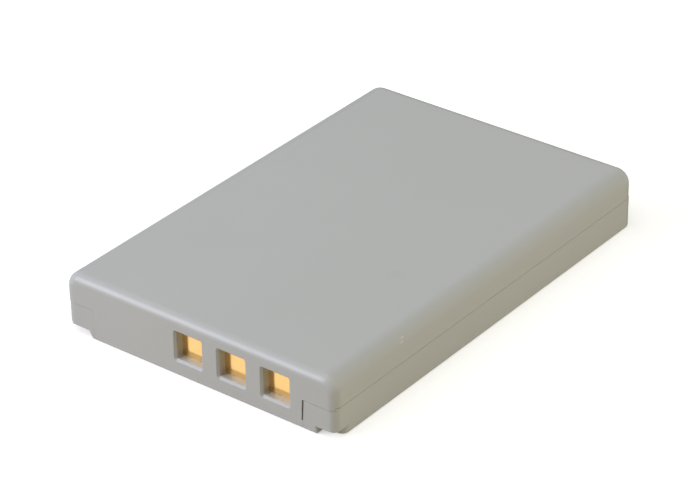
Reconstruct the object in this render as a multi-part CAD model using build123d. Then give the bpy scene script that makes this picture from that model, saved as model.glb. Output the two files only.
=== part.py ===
from build123d import *
from typing import NamedTuple
import os

# Slim rechargeable camera battery: two moulded case halves round a sealed cell and its protection board.
# Millimetres. X runs across the contact end, Y from the contact end to the rear, Z up from the base.
# The origin is the middle of the base, so the contact end faces -Y.

# Pack envelope
pack_width = 35.2
pack_length = 53.0
pack_height = 7.0

# Case mouldings
top_wall = 0.6
floor_wall = 0.6
side_wall = 0.7
rear_wall = 0.7
front_wall = 1.1
top_edge_radius = 1.75
front_end_radius = 1.0
rear_end_radius = 1.38
left_corner_radius = 1.1
right_corner_radius = 0.85
rear_corner_radius = 1.25
bottom_edge_radius = 0.27

# Stepped seam between the halves: the outer rims stop short of each other, the inner lip is the seat
seam_height = 3.63
seam_gap = 0.03
lip_height = 0.5
lip_thickness = 0.3
lip_clearance = 0.03
lip_corner_radius = 0.6

# Front posts of the lower half, on which the seam steps down
left_post_width = 3.75
right_post_width = 4.05
left_post_seam = 3.5
right_post_seam = 3.33
post_seam_depth = 0.35
post_seam_clearance = 0.01

# Contact panel of the upper half: it drops between the posts and leaves a leaning slit beside the right one
panel_clearance = 0.01
panel_corner_radius = 0.15
slit_width = 0.19
slit_bottom = 0.95
slit_lean = 0.13

# Windows in the panel, spaced from its slit edge towards the left
window_width = 3.3
window_gap = 2.3
window_side_land = 1.63
window_top_land = 1.93
window_bottom_land = 1.9
window_corner_radius = 0.12
window_rim_chamfer = 0.25

# Keying notches under the front corners: the left one flares, the right one is square with a rounded mouth
notch_height = 0.92
notch_depth = 1.3
left_notch_width = 3.0
left_notch_lean = 0.6
left_foot_radius = 0.3
left_post_turn_radius = 1.05
right_notch_width = 2.3
right_notch_lean = 0.05
right_foot_radius = 0.2
right_post_turn_radius = 0.15
right_mouth_radius = 0.3

# Contacts
contact_thickness = 0.4
contact_overlap = 0.35
contact_corner_radius = 0.4
contact_leg_thickness = 0.3
contact_leg_height = 1.2
contact_leg_clearance = 0.05

# Protection board
board_thickness = 0.8
board_end_gap = 1.3
board_edge_gap = 0.1
board_corner_radius = 0.3
board_rib_thickness = 0.8
board_rib_inset = 0.3
board_rib_height = 2.4
hold_down_width = 1.2

# Chips on the board, each with gull-wing leads
switch_body_width = 4.4
switch_body_length = 3.0
switch_body_height = 1.0
switch_lead_span = 6.4
switch_lead_pitch = 0.65
switch_lead_width = 0.25
switch_leads_a_side = 4
control_body_width = 1.6
control_body_length = 2.9
control_body_height = 1.1
control_lead_span = 2.8
control_lead_pitch = 0.95
control_lead_width = 0.4
control_leads_a_side = 3
lead_thickness = 0.15
lead_foot = 0.45
chip_spacing = 0.5
chip_edge_margin = 0.5

# Small chip parts on the board, in one row under the chips
part_row_margin = 0.45
part_row_spacing = 0.7
small_part_length = 1.0
small_part_width = 0.5
small_part_height = 0.35
large_part_length = 1.6
large_part_width = 0.8
large_part_height = 0.8
resistor_count = 3
capacitor_count = 2

# Cell
terminal_bay = 5.2
cell_side_clearance = 0.3
cell_swelling_gap = 0.35
can_rear_radius = 0.8
lid_edge_chamfer = 0.15
centring_rib_width = 1.4
centring_rib_clearance = 0.05
centring_rib_spacing = 15.0
centring_ribs_a_side = 3

# Tape and cushion that hold the cell
tape_thickness = 0.15
tape_width = 8.0
tape_end_margin = 5.0
tape_offset = 8.5
cushion_thickness = 0.4
cushion_side_margin = 5.0
cushion_edge_margin = 1.0

# Terminal on the cell's lid
gasket_radius = 1.6
gasket_thickness = 0.15
rivet_head_radius = 1.25
rivet_shank_radius = 0.6
rivet_shank_clearance = 0.05
rivet_head_thickness = 0.15
plug_radius = 0.9
plug_height = 0.2
plug_end_margin = 3.4
insulator_plug_gap = 0.7
insulator_weld_gap = 2.1
insulator_edge_margin = 0.3
insulator_hole_clearance = 0.1

# Nickel strips and the fuse between them
strip_thickness = 0.15
strip_width = 2.6
strip_bend_radius = 0.35
strip_end_margin = 0.4
positive_weld_length = 4.2
board_landing_length = 1.7
fuse_length = 5.0
fuse_width = 3.2
fuse_thickness = 0.6
fuse_end_margin = 0.9
fuse_edge_radius = 0.2

# Planes that the pieces share
half_width = pack_width / 2
front = -pack_length / 2
rear = pack_length / 2
inner_half_width = half_width - side_wall
inner_rear = rear - rear_wall
inner_top = pack_height - top_wall
upper_base = seam_height + seam_gap
skirt_back = front + post_seam_depth - post_seam_clearance
lip_top = seam_height + lip_height
panel_left = left_post_width - half_width
panel_right = half_width - right_post_width
notch_back = front + notch_depth
notch_roof = notch_height + floor_wall
panel_back = front + front_wall
board_front = panel_back + contact_thickness
board_back = board_front + board_thickness
board_bottom = floor_wall + board_edge_gap
board_top = inner_top - board_edge_gap
board_half_length = inner_half_width - board_end_gap
cell_front = panel_back + terminal_bay
cell_rear = inner_rear - cushion_thickness
cell_bottom = floor_wall + tape_thickness
cell_thickness = inner_top - cell_swelling_gap - cell_bottom
cell_width = 2 * (inner_half_width - cell_side_clearance)
cell_mid_height = cell_bottom + cell_thickness / 2
chip_height = board_top - chip_edge_margin - switch_body_length / 2
part_row_height = board_bottom + part_row_margin + large_part_width / 2
window_height = pack_height - window_top_land - window_bottom_land
window_mid_height = window_bottom_land + window_height / 2
window_pitch = window_width + window_gap
rivet_height = gasket_thickness + rivet_head_thickness
strip_plane = cell_front - rivet_height

# Windows and contacts from left to right
right_window = panel_right - slit_width - window_side_land - window_width / 2
window_centres = [right_window - step * window_pitch for step in (2, 1, 0)]
contact_width = window_width + 2 * contact_overlap
contact_height = window_height + 2 * contact_overlap
contact_leg_offset = (contact_width - contact_leg_thickness) / 2

# Places along the cell's lid: plug and fuse left of the terminal, weld of the positive strip right of it
plug_offset = cell_width / 2 - plug_end_margin
insulator_left = plug_offset - plug_radius - insulator_plug_gap
fuse_offset = insulator_left - fuse_end_margin - fuse_length / 2
positive_turn = window_centres[-1] + contact_width / 2 + contact_leg_clearance + strip_thickness
insulator_right = positive_turn - positive_weld_length - insulator_weld_gap


class Notch(NamedTuple):
    """One keying notch: its outward side, its foot beside the panel and its post's turned corner."""

    outward: int
    inner_side: float
    lean: float
    foot_radius: float
    turn_radius: float
    corner_radius: float


left_notch = Notch(
    -1, left_notch_width - half_width, left_notch_lean,
    left_foot_radius, left_post_turn_radius, left_corner_radius,
)
right_notch = Notch(
    1, half_width - right_notch_width, right_notch_lean,
    right_foot_radius, right_post_turn_radius, right_corner_radius,
)


def block(low, high):
    """A rectangular solid between its lowest and its highest corner."""
    size = [top - bottom for bottom, top in zip(low, high)]
    return Pos(*low) * Box(*size, align=(Align.MIN, Align.MIN, Align.MIN))


def along_y(profile, start, end):
    """A profile drawn as X and Z, run along Y from start to end."""
    return extrude(Plane.XZ.offset(-end) * profile, amount=end - start)


def strip_along(path, thickness, width):
    """Sheet bent along a path in the XY plane, thickened to its left and centred on Z = 0."""
    edge_view = make_face(offset(path, amount=thickness, side=Side.LEFT, kind=Kind.INTERSECTION))
    return extrude(edge_view, amount=width / 2, both=True)


def upper_outer():
    """Outside of the upper half: soft long edges, rounding round both ends, front skirt down to the posts."""
    section = Pos(0, pack_height / 2) * Rectangle(pack_width, pack_height)
    section = fillet(section.vertices().group_by(Axis.Y)[-1], top_edge_radius)
    body = along_y(section, front, rear)
    for end, radius in ((0, front_end_radius), (-1, rear_end_radius)):
        rims = body.edges().group_by(Axis.Y)[end].group_by(Axis.Z)[1:]
        body = fillet([edge for level in rims for edge in level], radius)
    body -= block((-half_width, skirt_back, 0), (half_width, rear, upper_base))
    body -= block((-half_width, front, 0), (0, skirt_back, left_post_seam + seam_gap))
    return body - block((0, front, 0), (half_width, skirt_back, right_post_seam + seam_gap))


def upper_inner():
    """Room inside the upper half, with the long edges rounded to keep the wall even."""
    height = inner_top - seam_height
    section = Pos(0, seam_height + height / 2) * Rectangle(2 * inner_half_width, height)
    section = fillet(section.vertices().group_by(Axis.Y)[-1], top_edge_radius - side_wall)
    return along_y(section, panel_back, inner_rear)


def lip_band(growth):
    """Band of the inner lip along both sides and the rear, grown outwards for its rebate."""
    reach = inner_half_width + lip_thickness + growth
    outer = block((-reach, board_front, seam_height), (reach, inner_rear + lip_thickness + growth, lip_top))
    outer = fillet(outer.edges().filter_by(Axis.Z).group_by(Axis.Y)[-1], lip_corner_radius + growth)
    inner = block(
        (-inner_half_width, board_front, seam_height),
        (inner_half_width, inner_rear, lip_top),
    )
    return outer - inner


def contact_panel():
    """Front panel down to the base, relieved beside the right post and rounded at its lower edges."""
    outline = Polyline(
        (panel_left + panel_clearance, 0),
        (panel_right - panel_clearance, 0),
        (panel_right - panel_clearance, slit_bottom),
        (panel_right - slit_width, slit_bottom),
        (panel_right - slit_width + slit_lean, lip_top),
        (panel_left + panel_clearance, lip_top),
        close=True,
    )
    face = make_face(outline)
    face = fillet(face.vertices().sort_by_distance((panel_left, 0)).first, panel_corner_radius)
    panel = along_y(face, front, panel_back)
    side_view = make_face(
        Polyline((front, 0), (panel_back, 0), (panel_back, lip_top), (front, lip_top), close=True)
    )
    side_view = fillet(side_view.vertices().sort_by_distance((front, 0)).first, bottom_edge_radius)
    return panel & extrude(Plane.YZ * side_view, amount=half_width, both=True)


def window_cutters():
    """One rounded opening through the panel for each contact."""
    opening = RectangleRounded(window_width, window_height, window_corner_radius)
    return [
        along_y(Pos(centre, window_mid_height) * opening, front, panel_back)
        for centre in window_centres
    ]


def on_window_rim(edge):
    """Whether an edge is on the outer rim of a window, on the front face."""
    middle = edge.center()
    beside = min(abs(middle.X - centre) for centre in window_centres) < window_pitch / 2
    level = abs(middle.Z - window_mid_height) < window_height / 2 + window_rim_chamfer
    return beside and level and middle.Y < front + window_rim_chamfer


def upper_case():
    """Upper moulding: top, upper walls and contact panel with its windows."""
    shell = upper_outer() - upper_inner() - lip_band(lip_clearance)
    shell += contact_panel()
    for cutter in window_cutters():
        shell -= cutter
    shell = chamfer(shell.edges().filter_by(on_window_rim), window_rim_chamfer)
    for side in (-1, 1):
        middle = side * board_half_length / 2
        shell += block(
            (middle - hold_down_width / 2, board_front, board_top),
            (middle + hold_down_width / 2, board_back, inner_top),
        )
    return shell


def lower_outer(start):
    """Outside of the lower half from a front plane to the rear, rounded at its corners and base."""
    length = rear - start
    plan = Pos(0, start + length / 2) * Rectangle(pack_width, length)
    corners = (
        (-half_width, start, left_corner_radius),
        (half_width, start, right_corner_radius),
        (-half_width, rear, rear_corner_radius),
        (half_width, rear, rear_corner_radius),
    )
    for x, y, radius in corners:
        plan = fillet(plan.vertices().sort_by_distance((x, y)).first, radius)
    body = extrude(plan, amount=seam_height)
    return fillet(body.edges().group_by(Axis.Z)[0], bottom_edge_radius)


def notch_cutter(notch):
    """Notch under a front corner: leaning inner side, ceiling turned up round the post's outer corner."""
    outer_side = notch.outward * half_width
    turn = outer_side - notch.outward * notch.turn_radius
    turn_top = notch_height + notch.turn_radius
    arch = make_face(
        Polyline((outer_side, 0), (0, 0), (0, notch_height), (turn, notch_height))
        + TangentArc((turn, notch_height), (outer_side, turn_top), tangent=(notch.outward, 0))
        + Line((outer_side, turn_top), (outer_side, 0))
    )
    foot_edge = (notch.inner_side - notch.outward * notch.lean, 0)
    foot = make_face(
        Polyline((0, 0), foot_edge, (notch.inner_side, notch_height), (0, notch_height), close=True)
    )
    foot = fillet(foot.vertices().sort_by_distance(foot_edge).first, notch.foot_radius)
    return along_y(arch - foot, front, notch_back + notch.corner_radius) - lower_outer(notch_back)


def right_mouth():
    """What the rounded front edge of the right notch's inner side leaves out."""
    centre = right_notch.inner_side - right_mouth_radius
    corner = block((centre, front, 0), (right_notch.inner_side, front + right_mouth_radius, notch_height))
    round_edge = extrude(Circle(right_mouth_radius), amount=notch_height)
    return corner - Pos(centre, front + right_mouth_radius) * round_edge


def notch_lining(notch):
    """Wall inside the case over and behind a notch, as thick as the floor."""
    inner_side = notch.inner_side - notch.outward * floor_wall
    near, far = sorted((inner_side, notch.outward * inner_half_width))
    return block((near, notch_back, floor_wall), (far, notch_back + floor_wall, notch_roof))


def panel_bay():
    """Room between the front posts for the panel and the slit."""
    outline = Polyline(
        (panel_left, floor_wall),
        (panel_right, floor_wall),
        (panel_right, slit_bottom),
        (panel_right + slit_lean, seam_height),
        (panel_left, seam_height),
        close=True,
    )
    return along_y(make_face(outline), front, board_front)


def lower_case():
    """Lower moulding: floor, lower walls, front posts, seam lip and the ribs that hold board and cell."""
    shell = lower_outer(front)
    shell -= block(
        (-inner_half_width, board_front, floor_wall),
        (inner_half_width, inner_rear, seam_height),
    )
    shell -= panel_bay()
    shell -= block((panel_left, front, 0), (panel_right, panel_back + panel_clearance, floor_wall))
    post_back = front + post_seam_depth
    shell -= block((-half_width, front, left_post_seam), (panel_left, post_back, seam_height))
    shell -= block((panel_right, front, right_post_seam), (half_width, post_back, seam_height))
    for notch in (left_notch, right_notch):
        shell += notch_lining(notch)
        shell -= notch_cutter(notch)
    shell -= right_mouth()
    shell += lip_band(0)
    rib_reach = cell_width / 2 + centring_rib_clearance
    for side in (-1, 1):
        rib = side * (board_half_length - board_rib_inset - board_rib_thickness / 2)
        shell += block(
            (rib - board_rib_thickness / 2, board_back, floor_wall),
            (rib + board_rib_thickness / 2, cell_front, floor_wall + board_rib_height),
        )
        for step in range(centring_ribs_a_side):
            station = (step - (centring_ribs_a_side - 1) / 2) * centring_rib_spacing
            near, far = sorted((side * rib_reach, side * inner_half_width))
            shell += block(
                (near, station - centring_rib_width / 2, floor_wall),
                (far, station + centring_rib_width / 2, seam_height),
            )
    return shell


def contact(centre):
    """Plated contact behind one window, with a leg at each side that passes into the board."""
    face = RectangleRounded(contact_width, contact_height, contact_corner_radius)
    plate = along_y(Pos(centre, window_mid_height) * face, panel_back, board_front)
    leg = Rectangle(contact_leg_thickness, contact_leg_height)
    for side in (-1, 1):
        place = Pos(centre + side * contact_leg_offset, window_mid_height)
        plate += along_y(place * leg, board_front, board_back)
    return plate


def board_relief(notch):
    """Corner cut from the board's outline to clear the lining of a notch."""
    clearance = floor_wall + board_edge_gap
    inner_side = notch.inner_side - notch.outward * clearance
    near, far = sorted((inner_side, notch.outward * half_width))
    height = notch_roof + board_edge_gap
    return Pos((near + far) / 2, height / 2) * Rectangle(far - near, height)


def circuit_board():
    """Protection board on edge behind the contacts, slotted for their legs and cut clear of the notches."""
    height = board_top - board_bottom
    outline = Pos(0, board_bottom + height / 2) * RectangleRounded(
        2 * board_half_length, height, board_corner_radius
    )
    outline -= board_relief(left_notch)
    outline -= board_relief(right_notch)
    slot = Rectangle(
        contact_leg_thickness + 2 * contact_leg_clearance,
        contact_leg_height + 2 * contact_leg_clearance,
    )
    for centre in window_centres:
        for side in (-1, 1):
            outline -= Pos(centre + side * contact_leg_offset, window_mid_height) * slot
    return along_y(outline, board_front, board_back)


def on_board(x, z):
    """Placing frame on the rear face of the board, with its Z pointing to the rear."""
    return Plane(origin=(x, board_back, z), x_dir=(1, 0, 0), z_dir=(0, 1, 0))


def chip(body_width, body_length, body_height, lead_span, lead_pitch, lead_width, leads_a_side):
    """Moulded chip lying on its board plane, with gull-wing leads along both sides."""
    body = Pos(0, 0, lead_thickness / 2) * Box(
        body_width, body_length, body_height - lead_thickness / 2,
        align=(Align.CENTER, Align.CENTER, Align.MIN),
    )
    knee = (lead_span / 2 - lead_foot + body_width / 2) / 2
    shoulder = body_height / 2
    path = Polyline((0, shoulder), (knee, shoulder), (knee, 0), (lead_span / 2, 0))
    lead = Rot(90, 0, 0) * strip_along(path, lead_thickness, lead_width)
    for step in range(leads_a_side):
        station = (step - (leads_a_side - 1) / 2) * lead_pitch
        body += Pos(0, station, 0) * lead
        body += Pos(0, station, 0) * mirror(lead, Plane.YZ)
    return body


def switch_centre():
    """Middle of the switch chip, counted from the rib at the left end of the board."""
    rib_side = board_rib_inset + board_rib_thickness - board_half_length
    return rib_side + chip_spacing + switch_lead_span / 2


def switch_chip():
    """Twin switching transistor."""
    body = chip(
        switch_body_width, switch_body_length, switch_body_height, switch_lead_span,
        switch_lead_pitch, switch_lead_width, switch_leads_a_side,
    )
    return on_board(switch_centre(), chip_height) * body


def control_chip():
    """Charge and discharge control circuit."""
    body = chip(
        control_body_width, control_body_length, control_body_height, control_lead_span,
        control_lead_pitch, control_lead_width, control_leads_a_side,
    )
    centre = switch_centre() + switch_lead_span / 2 + chip_spacing + control_lead_span / 2
    return on_board(centre, chip_height) * body


def part_row(start, count, length, width, height):
    """Equal chip parts in the row under the chips, from start along X."""
    seated = Box(length, width, height, align=(Align.MIN, Align.CENTER, Align.MIN))
    places = [start + step * (length + part_row_spacing) for step in range(count)]
    return [on_board(place, part_row_height) * seated for place in places]


def row_end(start, count, length):
    """Where the next part may start after a run of equal ones."""
    return start + count * (length + part_row_spacing)


def cell():
    """Sealed prismatic cell with round sides, drawn can and welded lid as one solid."""
    section = Pos(0, cell_mid_height) * SlotOverall(cell_width, cell_thickness)
    can = along_y(section, cell_front, cell_rear)
    can = fillet(can.edges().group_by(Axis.Y)[-1], can_rear_radius)
    return chamfer(can.edges().group_by(Axis.Y)[0], lid_edge_chamfer)


def on_lid(x):
    """Placing frame on the cell's lid, with its Z pointing to the contact end."""
    return Plane(origin=(x, cell_front, cell_mid_height), x_dir=(1, 0, 0), z_dir=(0, -1, 0))


def terminal_gasket():
    """Insulating ring between the lid and the terminal."""
    ring = Circle(gasket_radius) - Circle(rivet_shank_radius + rivet_shank_clearance)
    return on_lid(0) * extrude(ring, amount=gasket_thickness)


def terminal_rivet():
    """Negative terminal: a headed rivet through the gasket."""
    head = Pos(0, 0, gasket_thickness) * extrude(Circle(rivet_head_radius), amount=rivet_head_thickness)
    return on_lid(0) * (head + extrude(Circle(rivet_shank_radius), amount=gasket_thickness))


def fill_plug():
    """Plug welded into the lid's filling hole."""
    return on_lid(-plug_offset) * extrude(Circle(plug_radius), amount=plug_height)


def lid_insulator():
    """Insulating paper on the lid, as thick as the terminal stands proud and open round it."""
    length = insulator_left + insulator_right
    width = cell_thickness - 2 * insulator_edge_margin
    sheet = Pos((insulator_right - insulator_left) / 2, 0) * Rectangle(length, width)
    sheet -= Circle(gasket_radius + insulator_hole_clearance)
    return on_lid(0) * extrude(sheet, amount=rivet_height)


def positive_strip():
    """Nickel strip from its weld on the lid to the board, outside the right contact."""
    path = FilletPolyline(
        (positive_turn - positive_weld_length, cell_front - strip_thickness),
        (positive_turn, cell_front - strip_thickness),
        (positive_turn, board_back),
        (positive_turn + board_landing_length, board_back),
        radius=strip_bend_radius,
    )
    return Pos(0, 0, cell_mid_height) * strip_along(path, strip_thickness, strip_width)


def negative_strip():
    """Flat nickel strip from the terminal to the inner face of the fuse."""
    left = -fuse_offset - fuse_length / 2 + strip_end_margin
    return block(
        (left, strip_plane - strip_thickness, cell_mid_height - strip_width / 2),
        (rivet_head_radius, strip_plane, cell_mid_height + strip_width / 2),
    )


def thermal_fuse():
    """Resettable fuse lying on the negative strip."""
    outline = Pos(-fuse_offset, cell_mid_height) * RectangleRounded(fuse_length, fuse_width, fuse_edge_radius)
    fuse_back = strip_plane - strip_thickness
    return along_y(outline, fuse_back - fuse_thickness, fuse_back)


def fuse_strip():
    """Nickel strip from the outer face of the fuse to the board, between the middle contact's legs."""
    fuse_face = strip_plane - strip_thickness - fuse_thickness
    start = -fuse_offset - fuse_length / 2 + strip_end_margin
    turn = window_centres[1] - board_landing_length / 2
    path = FilletPolyline(
        (start, fuse_face - strip_thickness),
        (turn, fuse_face - strip_thickness),
        (turn, board_back),
        (turn + board_landing_length, board_back),
        radius=strip_bend_radius,
    )
    return Pos(0, 0, cell_mid_height) * strip_along(path, strip_thickness, strip_width)


def cell_tapes():
    """Two strips of double-sided tape between the floor and the cell."""
    strips = [
        block(
            (side * tape_offset - tape_width / 2, cell_front + tape_end_margin, floor_wall),
            (side * tape_offset + tape_width / 2, cell_rear - tape_end_margin, cell_bottom),
        )
        for side in (-1, 1)
    ]
    return strips[0] + strips[1]


def end_cushion():
    """Foam pad between the cell and the rear wall."""
    reach = cell_width / 2 - cushion_side_margin
    return block(
        (-reach, cell_rear, cell_bottom + cushion_edge_margin),
        (reach, inner_rear, cell_bottom + cell_thickness - cushion_edge_margin),
    )


resistor_start = switch_centre() - switch_body_width / 2
capacitor_start = row_end(resistor_start, resistor_count, small_part_length)
thermistor_start = row_end(capacitor_start, capacitor_count, large_part_length)
resistors = part_row(
    resistor_start, resistor_count, small_part_length, small_part_width, small_part_height
)
capacitors = part_row(
    capacitor_start, capacitor_count, large_part_length, large_part_width, large_part_height
)
thermistor = part_row(thermistor_start, 1, large_part_length, large_part_width, large_part_height)

pieces = {
    "upper_case": upper_case(),
    "lower_case": lower_case(),
    "positive_contact": contact(window_centres[2]),
    "sense_contact": contact(window_centres[1]),
    "negative_contact": contact(window_centres[0]),
    "circuit_board": circuit_board(),
    "switch_chip": switch_chip(),
    "control_chip": control_chip(),
    "resistors": Compound(resistors),
    "capacitors": Compound(capacitors),
    "thermistor": thermistor[0],
    "cell": cell(),
    "terminal_gasket": terminal_gasket(),
    "terminal_rivet": terminal_rivet(),
    "fill_plug": fill_plug(),
    "lid_insulator": lid_insulator(),
    "positive_strip": positive_strip(),
    "negative_strip": negative_strip(),
    "thermal_fuse": thermal_fuse(),
    "fuse_strip": fuse_strip(),
    "cell_tapes": cell_tapes(),
    "end_cushion": end_cushion(),
}

os.makedirs("parts", exist_ok=True)
for node, solid in pieces.items():
    export_step(solid, f"parts/{node}.step")
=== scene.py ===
"""Looks of a slim camera battery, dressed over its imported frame.

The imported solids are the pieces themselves. This script gives each one the finish of its real material,
adds the small scar on the right-hand long edge, and sets the floor, the soft light and the camera.
"""

import logging
import math
from dataclasses import dataclass, field
from enum import Enum

import bpy
from mathutils import Matrix, Vector


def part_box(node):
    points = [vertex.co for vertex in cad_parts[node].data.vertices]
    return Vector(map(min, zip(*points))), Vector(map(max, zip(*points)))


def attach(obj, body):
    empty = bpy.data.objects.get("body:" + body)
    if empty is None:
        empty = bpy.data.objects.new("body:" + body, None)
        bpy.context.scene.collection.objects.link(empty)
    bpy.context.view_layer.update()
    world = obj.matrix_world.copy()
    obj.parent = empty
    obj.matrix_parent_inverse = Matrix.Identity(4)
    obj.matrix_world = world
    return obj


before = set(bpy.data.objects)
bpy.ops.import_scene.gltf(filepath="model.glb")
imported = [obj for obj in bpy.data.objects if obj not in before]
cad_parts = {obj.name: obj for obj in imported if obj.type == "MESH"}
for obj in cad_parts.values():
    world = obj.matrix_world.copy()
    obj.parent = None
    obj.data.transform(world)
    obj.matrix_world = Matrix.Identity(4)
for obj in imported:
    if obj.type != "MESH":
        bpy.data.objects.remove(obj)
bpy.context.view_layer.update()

LOG = logging.getLogger("camera_battery")
MM = 0.001
WHITE = "#FFFFFF"

# Levels of finer noise laid over a slow drift of tone, and over a grain.
DRIFT_DETAIL = 2.0
GRAIN_DETAIL = 3.0

# Sockets of the colour mix node, whose names repeat for each kind of value.
MIX_FACTOR = 0
MIX_FIRST = 6
MIX_SECOND = 7
MIX_COLOUR = 2

Colour = tuple[float, float, float, float]
Inputs = dict[str | int, object]
Tree = bpy.types.NodeTree
Socket = bpy.types.NodeSocket


def linear(hex_colour: str) -> Colour:
    """Turn an sRGB hex colour into the linear colour that shaders and lamps take.

    Args:
        hex_colour: Colour written as "#RRGGBB".

    Returns:
        Linear red, green, blue and an alpha of one.
    """
    channels = [int(hex_colour[start:start + 2], 16) / 255 for start in (1, 3, 5)]
    red, green, blue = (c / 12.92 if c <= 0.04045 else ((c + 0.055) / 1.055) ** 2.4 for c in channels)
    return red, green, blue, 1.0


def per_metre(size_mm: float) -> float:
    """Give the pattern scale at which one repeat measures size_mm."""
    return 1 / (size_mm * MM)


def toward(bearing_deg: float, height_deg: float) -> Vector:
    """Give the direction from the pack to a place round it.

    Args:
        bearing_deg: Turn from straight in front of the contact end towards its right-hand side.
        height_deg: Angle above the floor.

    Returns:
        A unit vector.
    """
    bearing = math.radians(bearing_deg)
    height = math.radians(height_deg)
    return Vector((
        math.sin(bearing) * math.cos(height),
        -math.cos(bearing) * math.cos(height),
        math.sin(height),
    ))


def add_node(tree: Tree, kind: str, inputs: Inputs | None = None, **settings: object) -> bpy.types.Node:
    """Add one shader node, with its settings, input values and links.

    Args:
        tree: Node tree that takes the node.
        kind: Node type, without its "ShaderNode" prefix.
        inputs: Value, or socket to link from, for each input's name or number.
        settings: Properties of the node itself.

    Returns:
        The new node.
    """
    node = tree.nodes.new("ShaderNode" + kind)
    for name, value in settings.items():
        setattr(node, name, value)
    for name, value in (inputs or {}).items():
        if isinstance(value, Socket):
            tree.links.new(value, node.inputs[name])
        else:
            node.inputs[name].default_value = value
    return node


class Grain(Enum):
    """How a surface's grain lies: even, or drawn out along one direction of the pack."""

    EVEN = (1.0, 1.0, 1.0)
    ACROSS = (0.04, 1.0, 1.0)
    ALONG = (1.0, 0.04, 1.0)
    UPRIGHT = (1.0, 1.0, 0.04)


@dataclass(frozen=True)
class Finish:
    """A surface of two close tones, with a fine grain that sets its relief and gloss.

    Attributes:
        name: Material name, after the real material and how its surface was made.
        light: Lighter tone.
        dark: Darker tone.
        tone_mm: Size of the patches in which the tone drifts.
        grain_mm: Width of the grain.
        relief_mm: Height of the grain.
        gloss: Lowest and highest roughness.
        grain: How the grain lies.
        metallic: One for a metal.
        ior: Index of refraction, or none for a metal, which keeps the default.
    """

    name: str
    light: str
    dark: str
    tone_mm: float
    grain_mm: float
    relief_mm: float
    gloss: tuple[float, float]
    grain: Grain = Grain.EVEN
    metallic: float = 0.0
    ior: float | None = None

    def material(self) -> bpy.types.Material:
        """Build the material.

        Returns:
            A node material, ready to go into a slot.
        """
        made = bpy.data.materials.new(self.name)
        made.use_nodes = True
        tree = made.node_tree
        tree.nodes.clear()
        place = add_node(tree, "TexCoord").outputs["Object"]
        shader = add_node(tree, "BsdfPrincipled", self.surface(tree, place))
        add_node(tree, "OutputMaterial", {"Surface": shader.outputs["BSDF"]})
        return made

    def surface(self, tree: Tree, place: Socket) -> Inputs:
        """Work out the shader's inputs.

        Args:
            tree: Node tree of the material.
            place: Point on the piece, in metres.

        Returns:
            Value or socket for each shader input.
        """
        grain = self.grain_height(tree, place)
        inputs = {
            "Base Color": self.tone(tree, self.tone_drift(tree, place)),
            "Metallic": self.metallic,
            "Roughness": self.roughness(tree, grain),
            "Normal": self.relief(tree, grain),
        }
        if self.ior:
            inputs["IOR"] = self.ior
        return inputs

    def tone_drift(self, tree: Tree, place: Socket) -> Socket:
        """Give the slow drift between the two tones, from zero to one."""
        drift = {"Vector": place, "Scale": per_metre(self.tone_mm), "Detail": DRIFT_DETAIL}
        return add_node(tree, "TexNoise", drift).outputs["Fac"]

    def tone(self, tree: Tree, drift: Socket) -> Socket:
        """Mix the two tones by a drift from zero to one."""
        colours = {MIX_FACTOR: drift, MIX_FIRST: linear(self.light), MIX_SECOND: linear(self.dark)}
        return add_node(tree, "Mix", colours, data_type="RGBA").outputs[MIX_COLOUR]

    def grain_height(self, tree: Tree, place: Socket) -> Socket:
        """Give the grain's height, drawn out the way the grain lies.

        Args:
            tree: Node tree of the material.
            place: Point on the piece, in metres.

        Returns:
            Height from zero to one.
        """
        laid = add_node(tree, "Mapping", {"Vector": place, "Scale": self.grain.value}).outputs["Vector"]
        height = {"Vector": laid, "Scale": per_metre(self.grain_mm), "Detail": GRAIN_DETAIL}
        return add_node(tree, "TexNoise", height).outputs["Fac"]

    def roughness(self, tree: Tree, grain: Socket) -> Socket:
        """Spread the roughness over its range by the grain."""
        spread = {"Value": grain, "To Min": self.gloss[0], "To Max": self.gloss[1]}
        return add_node(tree, "MapRange", spread).outputs["Result"]

    def relief(self, tree: Tree, grain: Socket) -> Socket:
        """Raise the grain to its height."""
        return add_node(tree, "Bump", {"Height": grain, "Distance": self.relief_mm * MM}).outputs["Normal"]


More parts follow.
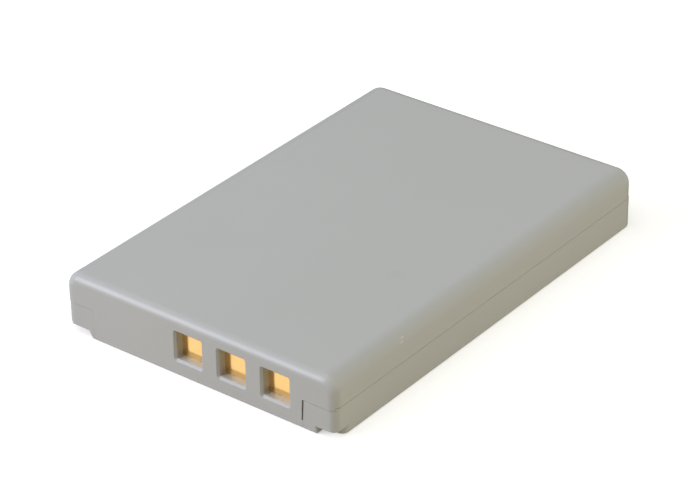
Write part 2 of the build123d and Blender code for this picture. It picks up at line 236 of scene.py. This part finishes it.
@dataclass(frozen=True)
class MouldedCase(Finish):
    """Case plastic: as any finish, with softened mould edges and one faint handling mark on the top face.

    Attributes:
        soft_edge_mm: Radius to which the sharp edges of the moulding look rounded.
        mark_mm: Place of the handling mark.
        mark_radius_mm: Radius at which the mark has faded out.
        mark_depth: Share of the drift towards the dark tone at its middle.
        low_angle_matt: Roughness added where the surface is seen at a low angle.
        low_angle_start: How far aslant, from zero to one, the surface is seen where the added part starts.
        low_angle_full: How far aslant it is seen where all of it is added.
    """

    soft_edge_mm: float = 0.05
    mark_mm: tuple[float, float, float] = (10.3, -6.9, 7.0)
    mark_radius_mm: float = 1.3
    mark_depth: float = 0.9
    low_angle_matt: float = 0.42
    low_angle_start: float = 0.5
    low_angle_full: float = 0.65

    def tone_drift(self, tree: Tree, place: Socket) -> Socket:
        """Give the drift between the tones, with the handling mark laid over it.

        Args:
            tree: Node tree of the material.
            place: Point on the piece, in metres.

        Returns:
            Drift from zero to one.
        """
        drift = super().tone_drift(tree, place)
        middle = Vector(self.mark_mm) * MM
        away = add_node(tree, "VectorMath", {0: place, 1: middle}, operation="DISTANCE").outputs["Value"]
        edge = self.mark_radius_mm * MM
        fade = {"Value": away, "From Max": edge, "To Min": self.mark_depth, "To Max": 0.0}
        mark = add_node(tree, "MapRange", fade, interpolation_type="SMOOTHSTEP").outputs["Result"]
        return add_node(tree, "Math", {0: drift, 1: mark}, operation="ADD", use_clamp=True).outputs["Value"]

    def roughness(self, tree: Tree, grain: Socket) -> Socket:
        """Spread the roughness by the grain, and raise it at a low angle, so that flat faces mirror no lamp.

        Args:
            tree: Node tree of the material.
            grain: Height of the grain.

        Returns:
            The roughness.
        """
        even = super().roughness(tree, grain)
        aslant = add_node(tree, "LayerWeight").outputs["Facing"]
        low = {
            "Value": aslant,
            "From Min": self.low_angle_start,
            "From Max": self.low_angle_full,
            "To Max": self.low_angle_matt,
        }
        matt = add_node(tree, "MapRange", low, interpolation_type="SMOOTHSTEP").outputs["Result"]
        return add_node(tree, "Math", {0: even, 1: matt}, operation="ADD", use_clamp=True).outputs["Value"]

    def relief(self, tree: Tree, grain: Socket) -> Socket:
        """Raise the grain on edges that look softly rounded.

        Args:
            tree: Node tree of the material.
            grain: Height of the grain.

        Returns:
            The direction in which the surface faces.
        """
        soft = add_node(tree, "Bevel", {"Radius": self.soft_edge_mm * MM}).outputs["Normal"]
        raised = {"Height": grain, "Distance": self.relief_mm * MM, "Normal": soft}
        return add_node(tree, "Bump", raised).outputs["Normal"]


@dataclass(frozen=True)
class TippedPart(Finish):
    """Board part whose two ends, or the leads at its two ends, are tinned metal.

    Attributes:
        tin: Colour of the tinned ends.
        start_mm: Where the row of parts starts, across the pack.
        pitch_mm: Distance from one part of the row to the next.
        length_mm: Length of one part over its ends.
        body_mm: Length of the body between the tinned ends.
    """

    tin: str = "#C9C8C4"
    start_mm: float = 0.0
    pitch_mm: float = 1.0
    length_mm: float = 1.0
    body_mm: float = 0.6

    def surface(self, tree: Tree, place: Socket) -> Inputs:
        """Work out the shader's inputs, with metal at the tinned ends.

        Args:
            tree: Node tree of the material.
            place: Point on the piece, in metres.

        Returns:
            Value or socket for each shader input.
        """
        inputs = super().surface(tree, place)
        across = add_node(tree, "SeparateXYZ", {"Vector": place}).outputs["X"]
        offset = {0: across, 1: -self.start_mm * MM}
        from_start = add_node(tree, "Math", offset, operation="ADD").outputs["Value"]
        repeat = {0: from_start, 1: self.pitch_mm * MM}
        within = add_node(tree, "Math", repeat, operation="FLOORED_MODULO").outputs["Value"]
        span = {0: within, 1: self.length_mm / 2 * MM, 2: self.body_mm / 2 * MM}
        on_body = add_node(tree, "Math", span, operation="COMPARE").outputs["Value"]
        colours = {MIX_FACTOR: on_body, MIX_FIRST: linear(self.tin), MIX_SECOND: inputs["Base Color"]}
        inputs["Base Color"] = add_node(tree, "Mix", colours, data_type="RGBA").outputs[MIX_COLOUR]
        bare = {"Value": on_body, "To Min": 1.0, "To Max": self.metallic}
        inputs["Metallic"] = add_node(tree, "MapRange", bare).outputs["Result"]
        return inputs


# Moulded acrylonitrile-butadiene-styrene blend from a spark-eroded tool: an even light grey with no gleam
# on its faces and a soft highlight where an edge turns. Real pits of this kind are finer, about 0.05 mm
# wide, and are drawn coarser to show.
CASE_PLASTIC = MouldedCase(
    name="abs_blend_moulded_fine_matt",
    light="#B3B5B4",
    dark="#AEB0AF",
    tone_mm=14.0,
    grain_mm=0.16,
    relief_mm=0.006,
    gloss=(0.3, 0.42),
    ior=1.53,
)

# The same plastic where a knock has stretched it: the strain whitens it, and the fresh surface is smoother.
SCRAPED_PLASTIC = Finish(
    name="abs_blend_strain_whitened",
    light="#C8C9C5",
    dark="#C2C3BF",
    tone_mm=0.3,
    grain_mm=0.1,
    relief_mm=0.004,
    gloss=(0.28, 0.36),
    ior=1.53,
)

# Hard gold electroplated on nickel: a warm mirror with a slight haze, rosier where the plating is thin.
CONTACT_GOLD = Finish(
    name="hard_gold_electroplated",
    light="#F1C986",
    dark="#EBBD77",
    tone_mm=1.6,
    grain_mm=0.12,
    relief_mm=0.001,
    gloss=(0.1, 0.2),
    grain=Grain.ACROSS,
    metallic=1.0,
)

# Glass-epoxy laminate under green solder mask: glossy, with the glass cloth showing as a fine grain.
BOARD_LAMINATE = Finish(
    name="glass_epoxy_laminate_masked",
    light="#1E5C38",
    dark="#174A2C",
    tone_mm=2.5,
    grain_mm=0.4,
    relief_mm=0.008,
    gloss=(0.22, 0.34),
    ior=1.55,
)

# Deep-drawn aluminium can: pale satin metal with fine lines along the draw.
CELL_ALUMINIUM = Finish(
    name="aluminium_deep_drawn",
    light="#D2D3D4",
    dark="#C3C4C6",
    tone_mm=9.0,
    grain_mm=0.2,
    relief_mm=0.003,
    gloss=(0.28, 0.42),
    grain=Grain.ALONG,
    metallic=1.0,
)

# Moulded polypropylene: milky, waxy and smooth.
GASKET_POLYPROPYLENE = Finish(
    name="polypropylene_moulded",
    light="#DEDDD8",
    dark="#D2D1CB",
    tone_mm=1.2,
    grain_mm=0.15,
    relief_mm=0.003,
    gloss=(0.34, 0.46),
    ior=1.49,
)

# Cold-rolled nickel strip: warm grey metal, with rolling lines across the pack.
NICKEL_STRIP = Finish(
    name="nickel_cold_rolled",
    light="#C4BFB6",
    dark="#B2ADA4",
    tone_mm=2.0,
    grain_mm=0.1,
    relief_mm=0.002,
    gloss=(0.2, 0.36),
    grain=Grain.ACROSS,
    metallic=1.0,
)

# Pressed fibre paper: dull, off-white, with matted fibres that catch the light.
FIBRE_PAPER = Finish(
    name="fibre_paper_pressed",
    light="#D8D2BC",
    dark="#C6BEA4",
    tone_mm=1.1,
    grain_mm=0.18,
    relief_mm=0.02,
    gloss=(0.8, 0.95),
    ior=1.45,
)

# Shrunk polyester film round the fuse: yellow-brown and glossy, with slight ripples.
FUSE_FILM = Finish(
    name="polyester_film_shrunk",
    light="#A58A45",
    dark="#8E7436",
    tone_mm=1.4,
    grain_mm=0.8,
    relief_mm=0.02,
    gloss=(0.12, 0.24),
    ior=1.6,
)

# Tissue tape coated on both sides: cream, dull, with a soft fibre pattern.
TISSUE_TAPE = Finish(
    name="tissue_tape_coated",
    light="#E4DFCE",
    dark="#D6D0BC",
    tone_mm=3.0,
    grain_mm=0.3,
    relief_mm=0.01,
    gloss=(0.55, 0.7),
    ior=1.47,
)

# Closed-cell foam rubber, skived from a block: near black, with cut cells that make it rough and dull.
FOAM_RUBBER = Finish(
    name="foam_rubber_skived",
    light="#2A2A2B",
    dark="#1C1C1D",
    tone_mm=1.0,
    grain_mm=0.25,
    relief_mm=0.05,
    gloss=(0.85, 0.98),
    ior=1.5,
)


def dress(node: str, made: bpy.types.Material) -> bpy.types.Object:
    """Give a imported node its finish.

    Args:
        node: Name of the node.
        made: Material for all of its slots.

    Returns:
        The node's object.
    """
    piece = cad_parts[node]
    for slot in piece.material_slots:
        slot.material = made
    return piece


@dataclass
class Housing:
    """The two moulded case halves, and the scar on the right-hand long edge.

    The scar is two small lips of plastic pushed up by a knock. The rest of its sheet is sunk in the edge.

    Attributes:
        edge_radius_mm: Radius of the case's long upper edges.
        scar_along_mm: Where the scar's middle is along the pack.
        scar_turn_deg: Where it is round the edge, from the top face down.
        scar_length_mm: Length along the edge.
        scar_width_mm: Width round the edge.
        scar_slant: How far the scar runs towards the rear for each millimetre round the edge.
        lip_spacing_mm: Distance between the tops of the two lips.
        lip_height_mm: Height of the lips above the sunk rim.
        lip_spread_mm: Half-width of a lip.
        scar_seat_mm: Depth to which the scar's rim is sunk in the edge.
        scar_steps: Faces along and round the scar.
    """

    edge_radius_mm: float = 1.75
    scar_along_mm: float = -15.42
    scar_turn_deg: float = 60.3
    scar_length_mm: float = 0.8
    scar_width_mm: float = 1.0
    scar_slant: float = -0.75
    lip_spacing_mm: float = 0.43
    lip_height_mm: float = 0.12
    lip_spread_mm: float = 0.1
    scar_seat_mm: float = 0.05
    scar_steps: int = 24
    pieces: list[bpy.types.Object] = field(default_factory=list)

    def build(self) -> None:
        """Build the scar on the upper half's right-hand edge."""
        row = self.scar_steps + 1
        shares = [step / self.scar_steps - 0.5 for step in range(row)]
        points = [self.scar_point(along, around) for around in shares for along in shares]
        corners = [j * row + i for j in range(self.scar_steps) for i in range(self.scar_steps)]
        faces = [(c, c + row, c + 1 + row, c + 1) for c in corners]
        mesh = bpy.data.meshes.new("edge_scar")
        mesh.from_pydata(points, [], faces)
        mesh.shade_smooth()
        scar = bpy.data.objects.new("edge_scar", mesh)
        bpy.context.collection.objects.link(scar)
        backing = scar.modifiers.new("backing", "SOLIDIFY")
        backing.thickness = self.scar_seat_mm * MM
        backing.offset = -1.0
        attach(scar, "root")
        self.pieces.append(scar)

    def scar_point(self, along: float, around: float) -> Vector:
        """Give a point of the scar's surface.

        Args:
            along: Share of the scar's length from its middle, from -0.5 to 0.5.
            around: Share of its width from its middle, from -0.5 to 0.5.

        Returns:
            The point, in metres.
        """
        inside = math.cos(math.pi * along) * math.cos(math.pi * around)
        from_middle = around * self.scar_width_mm
        lips = sum(
            math.exp(-((from_middle - side * self.lip_spacing_mm / 2) / self.lip_spread_mm) ** 2)
            for side in (-1, 1)
        )
        radius = self.edge_radius_mm - self.scar_seat_mm + self.lip_height_mm * lips * inside
        turn = math.radians(self.scar_turn_deg) + from_middle / self.edge_radius_mm
        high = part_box("upper_case")[1]
        centre = self.edge_radius_mm * MM
        return Vector((
            high[0] - centre + radius * MM * math.sin(turn),
            (self.scar_along_mm + along * self.scar_length_mm + from_middle * self.scar_slant) * MM,
            high[2] - centre + radius * MM * math.cos(turn),
        ))

    def dress(self) -> None:
        """Give both halves the case plastic, and the scar its whitened tone."""
        plastic = CASE_PLASTIC.material()
        scraped = SCRAPED_PLASTIC.material()
        for scar in self.pieces:
            scar.data.materials.append(scraped)
        self.pieces += [dress(node, plastic) for node in ("upper_case", "lower_case")]


@dataclass
class ContactRow:
    """The three gold-plated contacts behind the windows."""

    pieces: list[bpy.types.Object] = field(default_factory=list)

    def build(self) -> None:
        """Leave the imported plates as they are, since their shape is right."""

    def dress(self) -> None:
        """Give the contacts their plating."""
        gold = CONTACT_GOLD.material()
        self.pieces += [dress(node + "_contact", gold) for node in ("positive", "sense", "negative")]


@dataclass
class ProtectionBoard:
    """The board behind the contacts, with its chips and the row of small parts.

    Attributes:
        switch_body_mm: Length of the switch chip's body between its leads.
        control_body_mm: Length of the control chip's body between its leads.
        small_part_mm: Length of a resistor.
        large_part_mm: Length of a capacitor or of the thermistor.
        part_spacing_mm: Distance between the parts of the row.
        tinned_end_mm: Length of a small part's tinned end.
    """

    switch_body_mm: float = 4.4
    control_body_mm: float = 1.6
    small_part_mm: float = 1.0
    large_part_mm: float = 1.6
    part_spacing_mm: float = 0.7
    tinned_end_mm: float = 0.25
    pieces: list[bpy.types.Object] = field(default_factory=list)

    def build(self) -> None:
        """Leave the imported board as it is, since its shape is right."""

    def dress(self) -> None:
        """Give the board, the chips and the small parts their finishes."""
        self.pieces.append(dress("circuit_board", BOARD_LAMINATE.material()))
        self.dress_chip("switch_chip", self.switch_body_mm)
        self.dress_chip("control_chip", self.control_body_mm)
        self.dress_row("resistors", self.small_part_mm, "#26262A", "#1A1A1D")
        self.dress_row("capacitors", self.large_part_mm, "#9A7B55", "#8A6C48")
        self.dress_row("thermistor", self.large_part_mm, "#3D4238", "#31362D")

    def dress_chip(self, node: str, body_mm: float) -> None:
        """Give a chip its moulded epoxy body and tinned leads.

        Args:
            node: Name of the chip's node.
            body_mm: Length of its body between the leads.
        """
        low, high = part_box(node)
        span_mm = (high[0] - low[0]) / MM
        # Filled epoxy moulded round the chip: near black and matt, from the glass powder in it.
        finish = TippedPart(
            name=f"epoxy_moulded_{node}",
            light="#1F1F21",
            dark="#161617",
            tone_mm=0.8,
            grain_mm=0.08,
            relief_mm=0.004,
            gloss=(0.45, 0.6),
            ior=1.55,
            start_mm=low[0] / MM,
            pitch_mm=2 * span_mm,
            length_mm=span_mm,
            body_mm=body_mm,
        )
        self.pieces.append(dress(node, finish.material()))

    def dress_row(self, node: str, length_mm: float, light: str, dark: str) -> None:
        """Give a row of small parts its fired body and tinned ends.

        Args:
            node: Name of the row's node.
            length_mm: Length of one part.
            light: Lighter tone of the body.
            dark: Darker tone of the body.
        """
        # Fired ceramic: dense and faintly glossy, with metal fired on at both ends.
        finish = TippedPart(
            name=f"ceramic_fired_{node}",
            light=light,
            dark=dark,
            tone_mm=0.5,
            grain_mm=0.06,
            relief_mm=0.003,
            gloss=(0.3, 0.45),
            ior=1.7,
            start_mm=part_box(node)[0][0] / MM,
            pitch_mm=length_mm + self.part_spacing_mm,
            length_mm=length_mm,
            body_mm=length_mm - 2 * self.tinned_end_mm,
        )
        self.pieces.append(dress(node, finish.material()))


@dataclass
class CellGroup:
    """The sealed cell, its terminal, fuse, strips, tapes and end cushion."""

    pieces: list[bpy.types.Object] = field(default_factory=list)

    def build(self) -> None:
        """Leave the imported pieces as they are, since their shapes are right."""

    def dress(self) -> None:
        """Give each piece of the group its finish."""
        finishes = {
            CELL_ALUMINIUM: ("cell", "fill_plug"),
            GASKET_POLYPROPYLENE: ("terminal_gasket",),
            NICKEL_STRIP: ("terminal_rivet", "positive_strip", "negative_strip", "fuse_strip"),
            FIBRE_PAPER: ("lid_insulator",),
            FUSE_FILM: ("thermal_fuse",),
            TISSUE_TAPE: ("cell_tapes",),
            FOAM_RUBBER: ("end_cushion",),
        }
        for finish, nodes in finishes.items():
            made = finish.material()
            self.pieces += [dress(node, made) for node in nodes]


@dataclass(frozen=True)
class Softbox:
    """A square soft lamp that faces the pack.

    Attributes:
        name: Name of the lamp.
        bearing_deg: Where it stands round the pack, from the front towards the right.
        height_deg: Its angle above the floor.
        distance_mm: Its distance from the pack.
        side_mm: Length of its side.
        level: Share of white that a white card facing it shows in its light alone.
        colour: Colour of its light.
        in_gloss: Whether glossy surfaces mirror it. Fill lamps are not, so flat faces keep their tone.
    """

    name: str
    bearing_deg: float
    height_deg: float
    distance_mm: float
    side_mm: float
    level: float
    colour: str
    in_gloss: bool = False

    def hang(self) -> None:
        """Add the lamp to the scene."""
        lamp = bpy.data.lights.new(self.name, "AREA")
        lamp.shape = "SQUARE"
        lamp.size = self.side_mm * MM
        lamp.color = linear(self.colour)[:3]
        lamp.energy = self.level * (math.pi * self.distance_mm * MM) ** 2
        hung = bpy.data.objects.new(self.name, lamp)
        hung.visible_glossy = self.in_gloss
        direction = toward(self.bearing_deg, self.height_deg)
        hung.matrix_world = Matrix.Translation(direction * self.distance_mm * MM) @ (
            direction.to_track_quat("Z", "Y").to_matrix().to_4x4()
        )
        bpy.context.collection.objects.link(hung)


@dataclass
class Studio:
    """The pale floor, the white surround and the soft lamps.

    Attributes:
        floor_side_mm: Side of the square floor.
        floor_tone: Colour of the floor to the eye.
        floor_bounce: Colour of the light that it throws back on the pack.
        floor_glow: Share of white by which the floor glows to the eye, so that only its shade is seen.
        ambient: Colour of the light from all round.
        ambient_level: Share of white that a white card shows in that light alone.
        lamps: The soft lamps.
    """

    floor_side_mm: float = 4000.0
    floor_tone: str = "#E8E8E8"
    floor_bounce: str = "#BEAD81"
    floor_glow: float = 0.5
    ambient: str = WHITE
    ambient_level: float = 0.06
    lamps: tuple[Softbox, ...] = (
        Softbox("key_softbox", -37.0, 22.0, 450.0, 280.0, 0.73, "#EEF0FF", in_gloss=True),
        Softbox("overhead_softbox", -15.0, 72.0, 500.0, 420.0, 0.41, "#FFFEF8"),
        Softbox("left_bank", -75.0, 28.0, 500.0, 400.0, 0.16, "#DFE6FF"),
        Softbox("rear_bank", 180.0, 35.0, 500.0, 400.0, 0.1, WHITE),
        Softbox("right_fill", 98.0, 25.0, 500.0, 400.0, 0.54, "#FFFAE6"),
    )

    def set_up(self) -> None:
        """Lay the floor, set the surround and hang the lamps."""
        self.lay_floor()
        self.set_surround()
        for lamp in self.lamps:
            lamp.hang()

    def seen_directly(self, tree: Tree) -> Socket:
        """Tell the rays that show the background, to the camera or in gloss, from those that carry light.

        Args:
            tree: Node tree of the floor or of the surround.

        Returns:
            One for the rays that show it, and zero for the rest.
        """
        path = add_node(tree, "LightPath").outputs
        camera_or_gloss = {0: path["Is Camera Ray"], 1: path["Is Glossy Ray"]}
        seen = add_node(tree, "Math", camera_or_gloss, operation="ADD").outputs["Value"]
        through_glass = {0: seen, 1: path["Is Transmission Ray"]}
        return add_node(tree, "Math", through_glass, operation="ADD", use_clamp=True).outputs["Value"]

    def lay_floor(self) -> None:
        """Lay the floor on which the pack rests."""
        half = self.floor_side_mm / 2 * MM
        mesh = bpy.data.meshes.new("floor")
        corners = [(-half, -half, 0), (half, -half, 0), (half, half, 0), (-half, half, 0)]
        mesh.from_pydata(corners, [], [range(len(corners))])
        floor = bpy.data.objects.new("floor", mesh)
        bpy.context.collection.objects.link(floor)
        paper = bpy.data.materials.new("paper_sweep_matt")
        paper.use_nodes = True
        tree = paper.node_tree
        tree.nodes.clear()
        seen = self.seen_directly(tree)
        bounce = linear(self.floor_bounce)
        tones = {MIX_FACTOR: seen, MIX_FIRST: bounce, MIX_SECOND: linear(self.floor_tone)}
        tone = add_node(tree, "Mix", tones, data_type="RGBA").outputs[MIX_COLOUR]
        matt = add_node(tree, "BsdfDiffuse", {"Color": tone}).outputs["BSDF"]
        dimmed = {"Value": seen, "To Max": self.floor_glow}
        strength = add_node(tree, "MapRange", dimmed).outputs["Result"]
        glow = add_node(tree, "Emission", {"Strength": strength}).outputs["Emission"]
        lit = add_node(tree, "AddShader", {0: matt, 1: glow}).outputs["Shader"]
        add_node(tree, "OutputMaterial", {"Surface": lit})
        mesh.materials.append(paper)

    def set_surround(self) -> None:
        """Set a white surround that lights the pack evenly from all round."""
        world = bpy.data.worlds.new("white_surround")
        bpy.context.scene.world = world
        world.use_nodes = True
        tree = world.node_tree
        tree.nodes.clear()
        seen = self.seen_directly(tree)
        level = {"Value": seen, "To Min": self.ambient_level, "To Max": 1.0}
        strength = add_node(tree, "MapRange", level).outputs["Result"]
        colours = {MIX_FACTOR: seen, MIX_FIRST: linear(self.ambient), MIX_SECOND: linear(WHITE)}
        colour = add_node(tree, "Mix", colours, data_type="RGBA").outputs[MIX_COLOUR]
        light = add_node(tree, "Background", {"Color": colour, "Strength": strength}).outputs["Background"]
        add_node(tree, "OutputWorld", {"Surface": light})


@dataclass(frozen=True)
class Viewpoint:
    """The camera, at the photograph's viewing angle.

    Attributes:
        aim_mm: Point at the middle of the picture.
        bearing_deg: Where the camera stands round the pack, from the front towards the right.
        height_deg: Its angle above the floor.
        roll_deg: Its turn about the line of sight.
        distance_mm: Its distance from the aim.
        lens_mm: Focal length.
        sensor_mm: Width of the sensor.
        near_mm: Distance from which the camera sees.
    """

    aim_mm: tuple[float, float, float] = (-0.196, -1.059, 3.5)
    bearing_deg: float = 37.99
    height_deg: float = 30.49
    roll_deg: float = -0.79
    distance_mm: float = 309.0
    lens_mm: float = 149.98
    sensor_mm: float = 36.0
    near_mm: float = 10.0

    def place(self) -> None:
        """Add the camera and make it the scene's own."""
        lens = bpy.data.cameras.new("viewpoint")
        lens.sensor_fit = "HORIZONTAL"
        lens.sensor_width = self.sensor_mm
        lens.lens = self.lens_mm
        lens.clip_start = self.near_mm * MM
        camera = bpy.data.objects.new("viewpoint", lens)
        back = toward(self.bearing_deg, self.height_deg)
        right = Vector((0, 0, 1)).cross(back).normalized()
        turned = Matrix((right, back.cross(right), back)).transposed().to_4x4()
        stand = Matrix.Translation((Vector(self.aim_mm) + back * self.distance_mm) * MM)
        camera.matrix_world = stand @ turned @ Matrix.Rotation(math.radians(self.roll_deg), 4, "Z")
        bpy.context.collection.objects.link(camera)
        bpy.context.scene.camera = camera


def main() -> None:
    """Build and dress each sub-assembly, then set the studio and the camera."""
    logging.basicConfig(level=logging.INFO, format="%(message)s")
    bpy.context.scene.view_settings.view_transform = "Standard"
    for group in (Housing(), ContactRow(), ProtectionBoard(), CellGroup()):
        group.build()
        group.dress()
        for piece in group.pieces:
            LOG.info("%s: %s in %s", type(group).__name__, piece.name, piece.active_material.name)
    Studio().set_up()
    Viewpoint().place()


if __name__ == "__main__":
    main()
